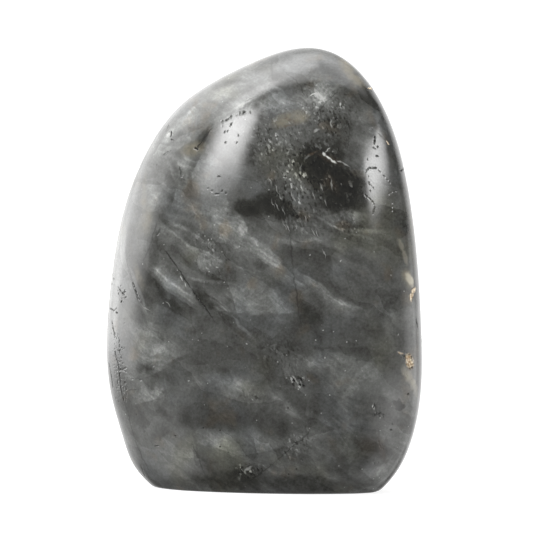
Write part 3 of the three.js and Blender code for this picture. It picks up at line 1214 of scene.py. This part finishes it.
    def _carve(self, piece: bpy.types.Object, nicks: list[Nick]) -> None:
        """Sinks the surface at every nick. The depth also stays on the mesh, for the material to read.

        Args:
            piece: the refined stone.
            nicks: the nicks.
        """
        points = read_vectors(piece.data.vertices, "co")
        tree = point_tree(points)
        depths = np.zeros(len(points), np.float32)
        for nick in nicks:
            for _, number, distance in tree.find_range(nick.place, nick.radius):
                sunk = nick.depth * (1 - (distance / nick.radius) ** 2) ** self.bowl
                depths[number] = max(depths[number], sunk)
        shares = np.clip(depths / (self.deepest * MM), 0, 1)
        group = piece.vertex_groups.new(name="carved")
        for number in np.flatnonzero(shares):
            group.add([int(number)], float(shares[number]), "REPLACE")
        take_up(piece)
        modifier = piece.modifiers.new("carve", "DISPLACE")
        modifier.direction = "NORMAL"
        modifier.mid_level = 0
        modifier.strength = -self.deepest * MM
        modifier.vertex_group = group.name
        bpy.ops.object.modifier_apply(modifier=modifier.name)
        piece.vertex_groups.clear()
        carved = piece.data.attributes.new("carved", "FLOAT", "POINT")
        carved.data.foreach_set("value", shares)


@dataclass(frozen=True)
class StoneFinish:
    """Labradorite under a high polish: a smoky grey body with veils, clear dark patches, cracks and flecks,
    and some painted shade and sheen.

    Sizes are in millimetres. Levels are the values of a noise between which a mask sets in.
    """

    gloss: float = 0.11
    dulling: float = 0.05  # how much rougher the polish is in places
    pit_roughness: float = 0.5  # what a pit adds
    cream_roughness: float = 0.7
    refraction: float = 1.56
    waves: float = 0.012  # height of the polish's faint waves
    grain: float = 0.0015  # height of the polish's grain
    cream_grain: float = 0.25  # what crumbled feldspar adds to that
    mean_tone: float = 0.49
    painted_back_shade: float = 0.07  # painted shade: how much darker the tone is at the back, against the strong light that falls there
    painted_back_shade_range: Range = (-6.0, 10.0)  # from where to where the painted shade darkens, from front to back
    mottles: tuple[tuple[float, float, float, float], ...] = (  # size, detail, roughness and strength
        (12.0, 3, 0.55, 0.5),
        (4.2, 5, 0.6, 0.45),
    )
    mottle_swings: Swings = ((12.0, 8.0),)
    fine_mottle: tuple[float, float, float, float] = (0.6, 2, 0.75, 0.34)
    band_turn: float = 28.0  # degrees that the bands run down to the right
    band_size: Triple = (9.0, 7.0, 1.3)
    band_levels: Range = (0.42, 0.60)
    band_strengths: Range = (0.08, 0.40)
    block_size: Triple = (11.0, 8.0, 4.0)
    block_strength: float = 0.15
    block_swings: Swings = ((9.0, 5.0), (2.4, 1.0), (0.9, 0.4))
    calm_swings: Swings = ((9.0, 3.0), (2.4, 0.7), (0.9, 0.35))  # for what has a smooth outline
    torn_swings: Swings = ((9.0, 2.6), (2.6, 2.6), (0.8, 1.3))  # for what has a torn one
    close_swings: Swings = ((1.1, 0.9),)  # for thin marks and stains
    cloud_levels: Range = (0.30, 0.66)
    veil_and_sheen_gain: float = 1.25
    fibre_turn: float = 34.0  # degrees
    fibre_size: Triple = (5.0, 4.0, 0.5)
    fibre_levels: Range = (0.34, 0.68)
    smoke_and_shade_gain: float = 3.6
    fleck_turn: float = 70.0  # degrees
    fleck_size: Triple = (0.75, 0.45, 0.40)
    clump_levels: Range = (0.42, 0.62)
    tones: tuple[tuple[float, Triple], ...] = (
        (0.00, (0.005, 0.005, 0.004)),
        (0.25, (0.022, 0.022, 0.018)),
        (0.50, (0.075, 0.076, 0.071)),
        (0.65, (0.119, 0.122, 0.115)),
        (0.80, (0.192, 0.197, 0.188)),
        (1.00, (0.383, 0.388, 0.372)),
    )
    tints: tuple[tuple[float, Colour, Range], ...] = (  # size, factor and levels of a faint tint
        (17.0, (1.0, 0.99, 0.86, 1.0), (0.55, 0.70)),
        (12.0, (0.97, 0.99, 1.03, 1.0), (0.50, 0.66)),
        (7.0, (1.12, 1.0, 0.88, 1.0), (0.58, 0.72)),
    )
    tint_shift: float = 31.0  # how far apart the tints are read, so that each has its own places
    crowd_levels: Range = (0.44, 0.62)
    specks: tuple[tuple[float, float, float, Colour], ...] = (  # spacing, reach, least chance and colour
        (1.3, 0.17, 0.80, (0.34, 0.35, 0.33, 1.0)),
        (1.9, 0.15, 0.66, (0.012, 0.012, 0.010, 1.0)),
    )
    stains: tuple[tuple[Kind, float, Colour], ...] = (  # kind, cover and colour
        (Kind.TAN, 0.9, (0.215, 0.190, 0.130, 1.0)),
        (Kind.RUST, 0.7, (0.090, 0.060, 0.036, 1.0)),
        (Kind.IVORY, 1.0, (0.46, 0.43, 0.34, 1.0)),
    )
    cream: tuple[Colour, Colour] = ((0.50, 0.36, 0.22, 1.0), (0.85, 0.76, 0.60, 1.0))  # dark and light
    cream_levels: Range = (0.35, 0.65)
    thin_marks: tuple[tuple[Kind, float, Colour], ...] = (  # kind, cover and colour
        (Kind.FLAKE, 0.9, (0.62, 0.63, 0.60, 1.0)),
        (Kind.CRACK, 1.0, (0.008, 0.008, 0.006, 1.0)),
    )
    hollow_levels: Range = (0.1, 0.5)  # shares of the deepest depth between which a pit turns dark
    hollow: Colour = (0.010, 0.009, 0.007, 1.0)

    def material(self, stone: Stone) -> bpy.types.Material:
        """Makes the stone's material.

        Args:
            stone: the modelled stone, on whose surface the streaks are placed.

        Returns:
            The material.
        """
        material = bpy.data.materials.new("polished labradorite")
        material.use_nodes = True
        sheet = Sheet(material.node_tree)
        inside = sheet.node("ShaderNodeTexCoord", {}, {}, "Object")
        place = sheet.vector("MULTIPLY", inside, (1 / MM,) * 3)
        streaks = self._streaks(stone)
        tone = self._body_tone(sheet, place)
        cloud = sheet.noise(place, 2.6, 4, roughness=0.65).between(*self.cloud_levels)
        calm = self._wander(sheet, place, self.calm_swings)
        # The pale layer: veils, sheets and some painted sheen
        veil_and_sheen = self._layer(sheet, calm, streaks, Kind.VEIL) + self._layer(sheet, calm, streaks, Kind.SHEET)
        tone = tone + veil_and_sheen * (0.72 + 0.56 * cloud) * self._fibres(sheet, calm) * self.veil_and_sheen_gain
        torn = self._wander(sheet, place, self.torn_swings)
        # The dark layer: smoky patches and some painted shade
        smoke_and_shade = self._layer(sheet, torn, streaks, Kind.SMOKE) + self._layer(sheet, calm, streaks, Kind.SHADE)
        tone = tone / (1 + smoke_and_shade * (1.5 - cloud) * self.smoke_and_shade_gain)
        tone = tone + self._flecks(sheet, place, self._layer(sheet, torn, streaks, Kind.FLECKED))
        close = self._wander(sheet, place, self.close_swings)
        masks = {kind: self._layer(sheet, close, streaks, kind) for kind in Kind if kind not in SOFT_KINDS}
        masks[Kind.TAN] = masks[Kind.TAN] * (0.45 + 0.8 * cloud)
        carved = sheet.node("ShaderNodeAttribute", {"attribute_name": "carved"}, {}, "Fac")
        crumbled = masks[Kind.CREAM]
        hollow = carved.between(*self.hollow_levels) * (1 - crumbled)
        shader = sheet.add("ShaderNodeBsdfPrincipled", {}, {
            "Base Color": self._colour(sheet, place, tone, masks, hollow),
            "Roughness": self._roughness(sheet, place, carved, crumbled),
            "IOR": self.refraction,
            "Normal": self._relief(sheet, place, crumbled),
        })
        sheet.add("ShaderNodeOutputMaterial", {}, {"Surface": Value(sheet, shader.outputs[0])})
        return material

    @staticmethod
    def _streaks(stone: Stone) -> list[Laid]:
        """Lays every streak on the stone.

        Args:
            stone: the modelled stone.

        Returns:
            The streaks, those of the hidden side last.
        """
        drawn = [Streak(kind, *line) for kind, lines in STREAKS.items() for line in lines]
        for x, y in NEEDLE_TOPS:
            path = ((x, y), (x + NEEDLE_RUN[0], y + NEEDLE_RUN[1]))
            drawn.append(Streak(Kind.FLAKE, path, NEEDLE_WIDTH, NEEDLE_STRENGTH))
        for pixel in SPECKS:
            drawn.append(Streak(Kind.FLAKE, (pixel,), SPECK_WIDTH, SPECK_STRENGTH))
        streaks = [(streak.kind, streak.marks(stone.surface), streak.strength) for streak in drawn]
        return streaks + stone.hidden_streaks

    @staticmethod
    def _wander(sheet: Sheet, place: Value, swings: Swings) -> Value:
        """Makes a place wander, so that what is drawn there has natural edges.

        Args:
            sheet: the material's nodes.
            place: the place.
            swings: the size of each noise and how far it moves the place.

        Returns:
            The moved place.
        """
        moved = place
        for size, swing in swings:
            drift = sheet.noise(place, size, 1, "Color")
            drift = sheet.vector("SUBTRACT", drift, (0.5,) * 3)
            moved = sheet.vector("MULTIPLY_ADD", drift, (swing,) * 3, moved)
        return moved

    @staticmethod
    def _mark(sheet: Sheet, place: Value, mark: Mark, kind: Kind, strength: float) -> Value:
        """Draws one mark.

        Args:
            sheet: the material's nodes.
            place: where it is read.
            mark: the mark.
            kind: what it looks like.
            strength: its strength in its middle.

        Returns:
            How strong it is.
        """
        middle = mark.middle / MM
        depth = sheet.gradient("SPHERICAL", sheet.framed(place, middle, mark.turn, mark.half_sizes))
        mask = depth.between(0, EDGES[kind], 0, strength)
        if kind in EDGED_KINDS:
            across = sheet.framed(place, middle, mark.edge_turn, (EDGE_FADE,) * 3)
            mask = mask * sheet.gradient("EASING", across)
        return mask

    def _layer(self, sheet: Sheet, place: Value, streaks: list[Laid], kind: Kind) -> Value:
        """Draws all streaks of one kind.

        Args:
            sheet: the material's nodes.
            place: where they are read.
            streaks: every streak.
            kind: the kind to draw.

        Returns:
            How strong the layer is. Soft streaks add up, and of the others the strongest counts.
        """
        total = None
        for streak_kind, marks, strength in streaks:
            if streak_kind is not kind:
                continue
            one = None
            for mark in marks:
                mask = self._mark(sheet, place, mark, kind, strength)
                one = mask if one is None else one.larger(mask)
            if total is None:
                total = one
            else:
                total = total + one if kind in SOFT_KINDS else total.larger(one)
        return total

    def _fibres(self, sheet: Sheet, place: Value) -> Value:
        """Makes the fine strands of the veils: a factor around one."""
        strands = sheet.framed(place, turn=(0, math.radians(self.fibre_turn), 0), sizes=self.fibre_size)
        return 0.8 + 0.4 * sheet.noise(strands, 1, 3).between(*self.fibre_levels)

    def _flecks(self, sheet: Sheet, place: Value, zone: Value) -> Value:
        """Strews the flecked zones with small bright and dark faces.

        Args:
            sheet: the material's nodes.
            place: where they are read.
            zone: how strong the zone is.

        Returns:
            What they add to the tone.
        """
        clump = sheet.noise(place, 2.3, 3, roughness=0.6).between(*self.clump_levels)
        turned = sheet.framed(place, turn=(0, math.radians(self.fleck_turn), 0), sizes=self.fleck_size)
        _, draws = sheet.cells(turned)
        parts = sheet.add("ShaderNodeSeparateColor", {}, {0: draws})
        light = Value(sheet, parts.outputs[0]).between(0.62, 1.05, 0, 0.85)
        dark = Value(sheet, parts.outputs[1]).between(0.60, 1.0, 0, 0.35)
        return zone * (light * (0.15 + 0.85 * clump) - dark)

    def _body_tone(self, sheet: Sheet, place: Value) -> Value:
        """Works out how light the body of the stone is, apart from its streaks, with painted shade at the
        back.

        Args:
            sheet: the material's nodes.
            place: where it is read.

        Returns:
            The tone, around one half.
        """
        turn = (0, math.radians(self.band_turn), 0)
        bent = self._wander(sheet, place, self.mottle_swings)
        bands = sheet.framed(bent, turn=turn, sizes=self.band_size)
        banded = sheet.noise(place, 24, 1).between(*self.band_levels, *self.band_strengths)
        tone = self.mean_tone
        for size, detail, roughness, strength in self.mottles:
            tone = tone + strength * (sheet.noise(bent, size, detail, roughness=roughness) - 0.5)
        tone = tone + banded * (sheet.noise(bands, 1, 3) - 0.5)
        frayed = self._wander(sheet, place, self.block_swings)
        _, draws = sheet.cells(sheet.framed(frayed, turn=turn, sizes=self.block_size))
        block = sheet.vector("DOT_PRODUCT", draws, (1.0, 0.0, 0.0))
        tone = tone + self.block_strength * (block - 0.5)
        _, backward, _ = sheet.parts(place)
        # Painted shade: the back is darkened against the strong light that falls on it from behind
        tone = tone - backward.between(*self.painted_back_shade_range, 0, self.painted_back_shade)
        size, detail, roughness, strength = self.fine_mottle
        return tone + strength * (sheet.noise(place, size, detail, roughness=roughness) - 0.5)

    def _colour(self, sheet: Sheet, place: Value, tone: Value, masks: dict[Kind, Value],
                hollow: Value) -> Value:
        """Works out the stone's colour.

        Args:
            sheet: the material's nodes.
            place: where it is read.
            tone: how light the body is.
            masks: how strong the layers of thin marks and stains are.
            hollow: where the surface is carved away.

        Returns:
            The colour.
        """
        grey = sheet.node("ShaderNodeValToRGB", {"stops": self.tones}, {"Fac": tone})
        for number, (size, tint, levels) in enumerate(self.tints, 1):
            shifted = sheet.vector("ADD", place, (self.tint_shift * number, 0.0, 0.0))
            grey = sheet.blend(sheet.noise(shifted, size, 2).between(*levels), grey,
                               sheet.blend(1.0, grey, tint, "MULTIPLY"))
        colour = self._specks(sheet, place, grey)
        for kind, cover, stain in self.stains:
            colour = sheet.blend(masks[kind] * cover, colour, stain)
        grain = sheet.noise(place, 0.5, 2).between(*self.cream_levels)
        colour = sheet.blend(masks[Kind.CREAM], colour, sheet.blend(grain, *self.cream))
        for kind, cover, shade in self.thin_marks:
            colour = sheet.blend(masks[kind] * cover, colour, shade)
        return sheet.blend(hollow, colour, self.hollow)

    def _specks(self, sheet: Sheet, place: Value, colour: Value) -> Value:
        """Strews tiny light and dark grains over a colour.

        Args:
            sheet: the material's nodes.
            place: where they are read.
            colour: the colour under them.

        Returns:
            The colour with the grains.
        """
        crowd = sheet.noise(place, 9.0, 2).between(*self.crowd_levels, 0.2, 1.0)
        for spacing, reach, least, grain in self.specks:
            distance, draws = sheet.cells(place, spacing)
            chance = sheet.vector("DOT_PRODUCT", draws, (1.0, 0.0, 0.0))
            mask = distance.between(reach, reach * 0.4) * chance.between(least, 1.0) * crowd
            colour = sheet.blend(mask, colour, grain)
        return colour

    def _roughness(self, sheet: Sheet, place: Value, carved: Value, crumbled: Value) -> Value:
        """Works out how rough the surface is: dull in its pits and on crumbled feldspar.

        Args:
            sheet: the material's nodes.
            place: where it is read.
            carved: how deep the surface is carved, as a share of the deepest.
            crumbled: where the feldspar is crumbled.

        Returns:
            The roughness.
        """
        polish = self.gloss + self.dulling * sheet.noise(place, 4.5, 3).between(0.4, 0.75)
        pitted = polish + carved.between(0.02, 0.3, 0, self.pit_roughness)
        return pitted.larger(crumbled * self.cream_roughness)

    def _relief(self, sheet: Sheet, place: Value, crumbled: Value) -> Value:
        """Gives the polish its faint waves, and the crumbled feldspar its grain.

        Args:
            sheet: the material's nodes.
            place: where it is read.
            crumbled: where the feldspar is crumbled.

        Returns:
            The normal.
        """
        waves = sheet.noise(place, 5, 1) * self.waves
        height = waves + sheet.noise(place, 0.4, 2) * (crumbled * self.cream_grain + self.grain)
        return sheet.node("ShaderNodeBump", {}, {"Strength": 1.0, "Distance": MM, "Height": height}, "Normal")


# The studio

@dataclass(frozen=True)
class Glow:
    """A soft bright panel of the studio, round one direction as seen from the stone, in degrees.

    Azimuth 0 is the camera's side and + is to the camera's right. A fade of 0 leaves that edge out.
    """

    brightness: float
    middle: tuple[float, float]  # azimuth and elevation
    half_size: tuple[float, float]  # across and up
    turn: float = 0.0  # anticlockwise, with azimuth to the right and elevation up
    fades: tuple[float, float, float, float] = (12.0, 12.0, 12.0, 12.0)  # left, right, bottom and top
    slant: float = 0.0  # how steeply the bottom and the top rise to the right


@dataclass(frozen=True)
class Ceiling:
    """The pale ceiling over and behind the stone, which ends in a straight edge towards the camera."""

    brightness: float = 2.0
    front: float = 0.27  # how far in front of the stone the edge is, as a share of its height above it
    front_fade: float = 0.06
    bottom: float = 66.0  # degrees above the floor at which it ends elsewhere
    bottom_fade: float = 18.0


@dataclass
class Studio:
    """A pale floor in a white room, with soft lights at the left, the right and overhead."""

    floor_size: float = 12.0  # m
    floor_colour: Colour = (0.35, 0.35, 0.35, 1.0)
    floor_light: float = 0.82  # what the floor shines by itself, so that it stays pale
    dim: float = 0.3  # brightness of the room between its lights
    backdrop: float = 1.2  # brightness of the room as the camera sees it
    ceiling: Ceiling = Ceiling()
    glows: tuple[Glow, ...] = (
        Glow(1.6, (-120, 20), (40, 17), -18, (50, 14, 14, 0)),
        Glow(1.2, (-140, 45), (56, 53), 0, (0, 16, 16, 0)),
        Glow(1.0, (160, 22), (32, 38), 0, (30, 0, 20, 20)),
        Glow(1.8, (-111, 6), (21, 12), 0, (24, 18, 12, 14)),
        Glow(1.4, (-134, 2.5), (20, 5.5), 0, (16, 10, 6, 8)),
        Glow(1.4, (-95, 56), (33, 11), 0, (40, 14, 20, 16)),
        Glow(4.0, (-68, 54), (20, 8), -50, (12, 12, 8, 12)),
        Glow(14.0, (-50, 34.5), (8.5, 10), 10, (12, 7, 16, 14)),
        Glow(0.8, (-120, 95), (85, 35), 0, (0, 60, 20, 0)),
        Glow(11.5, (42.5, 26.9), (15.5, 5.1), 0, (4, 32, 9, 3.5), 0.28),
        Glow(1.3, (84, -32), (46, 28), 0, (20, 30, 24, 14)),
        Glow(1.2, (40, -17), (14, 7), 0, (14, 14, 10, 10)),
        Glow(2.2, (90, -2), (30, 8), 0, (24, 24, 8, 8)),
        Glow(1.0, (-81, -29), (24, 15), 0, (24, 24, 18, 18)),
        Glow(1.0, (-138, -16), (27, 10), 0, (30, 20, 14, 14)),
        Glow(1.0, (-23, 51), (20, 10), 0, (20, 30, 20, 14)),
        Glow(1.4, (137, 67), (62, 13), 0, (30, 0, 16, 16)),
    )

    def build(self) -> None:
        """Sets up the surroundings, the floor and the picture's tones."""
        self._world()
        self._floor()
        bpy.context.scene.view_settings.view_transform = "Standard"
        bpy.context.scene.view_settings.look = "None"

    def _world(self) -> None:
        """Lights the room: white to the camera, and to the stone a set of soft glows."""
        world = bpy.data.worlds.new("studio")
        bpy.context.scene.world = world
        world.use_nodes = True
        sheet = Sheet(world.node_tree)
        outward = sheet.node("ShaderNodeTexCoord", {}, {}, "Generated")
        x, y, z = sheet.parts(outward)
        azimuth = sheet.node("ShaderNodeMath", {"operation": "ARCTAN2"}, {0: x, 1: y * -1}) * math.degrees(1)
        elevation = sheet.node("ShaderNodeMath", {"operation": "ARCSINE"}, {0: z}) * math.degrees(1)
        direction = sheet.node("ShaderNodeCombineXYZ", {}, {0: azimuth, 1: elevation})
        ahead = y * -1 / z.larger(0.01)
        edge = self.ceiling.front
        soft = self.ceiling.front_fade / 2
        low = self.ceiling.bottom
        fade = self.ceiling.bottom_fade / 2
        total = ahead.between(edge + soft, edge - soft, 0, self.ceiling.brightness)
        total = total * elevation.between(low - fade, low + fade) + self.dim
        for glow in self.glows:
            total = total + self._glow(sheet, glow, direction)
        seen = sheet.node("ShaderNodeLightPath", {}, {}, "Is Camera Ray")
        strength = total * (1 - seen) + seen * self.backdrop
        background = sheet.node("ShaderNodeBackground", {}, {"Color": WHITE, "Strength": strength})
        sheet.add("ShaderNodeOutputWorld", {}, {"Surface": background})

    @staticmethod
    def _glow(sheet: Sheet, glow: Glow, direction: Value) -> Value:
        """Works out one glow.

        Args:
            sheet: the world's nodes.
            glow: the glow.
            direction: the azimuth and elevation of a direction.

        Returns:
            The glow's brightness in that direction.
        """
        panel = sheet.framed(direction, (*glow.middle, 0), (0, 0, math.radians(glow.turn)))
        parts = sheet.parts(panel)
        mask = None
        for axis, half_size in enumerate(glow.half_size):
            along = parts[axis]
            if axis == 1 and glow.slant:
                along = along - parts[0] * glow.slant
            for side, fade in zip((-1, 1), glow.fades[axis * 2:axis * 2 + 2]):
                if not fade:
                    continue
                edge = side * half_size
                top = 1 if mask else glow.brightness
                part = along.between(edge + side * fade / 2, edge - side * fade / 2, 0, top)
                mask = mask * part if mask else part
        return mask

    def _floor(self) -> bpy.types.Object:
        """Lays the floor. Only the camera sees it, and it takes the stone's shadow.

        Returns:
            The floor.
        """
        bpy.ops.mesh.primitive_plane_add(size=self.floor_size, location=(0, 0, 0))
        floor = bpy.context.object
        floor.name = "floor"
        material = bpy.data.materials.new("pale floor")
        material.use_nodes = True
        sheet = Sheet(material.node_tree)
        matt = sheet.node("ShaderNodeBsdfDiffuse", {}, {"Color": self.floor_colour})
        lit = sheet.node("ShaderNodeEmission", {}, {"Color": WHITE, "Strength": self.floor_light})
        both = sheet.node("ShaderNodeAddShader", {}, {0: matt, 1: lit})
        sheet.add("ShaderNodeOutputMaterial", {}, {"Surface": both})
        floor.data.materials.append(material)
        floor.visible_glossy = False
        floor.visible_diffuse = False
        return floor


def main() -> None:
    """Builds the stone and the studio."""
    sight = Sight()
    stone = Stone(sight)
    piece = stone.build()
    piece.data.materials.append(StoneFinish().material(stone))
    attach(piece, "root")
    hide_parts(NODE)
    log.info("%s: %d faces", piece.name, len(piece.data.polygons))
    Studio().build()
    sight.set_camera()


if __name__ == "__main__":
    logging.basicConfig(level=logging.INFO, format="%(message)s")
    main()
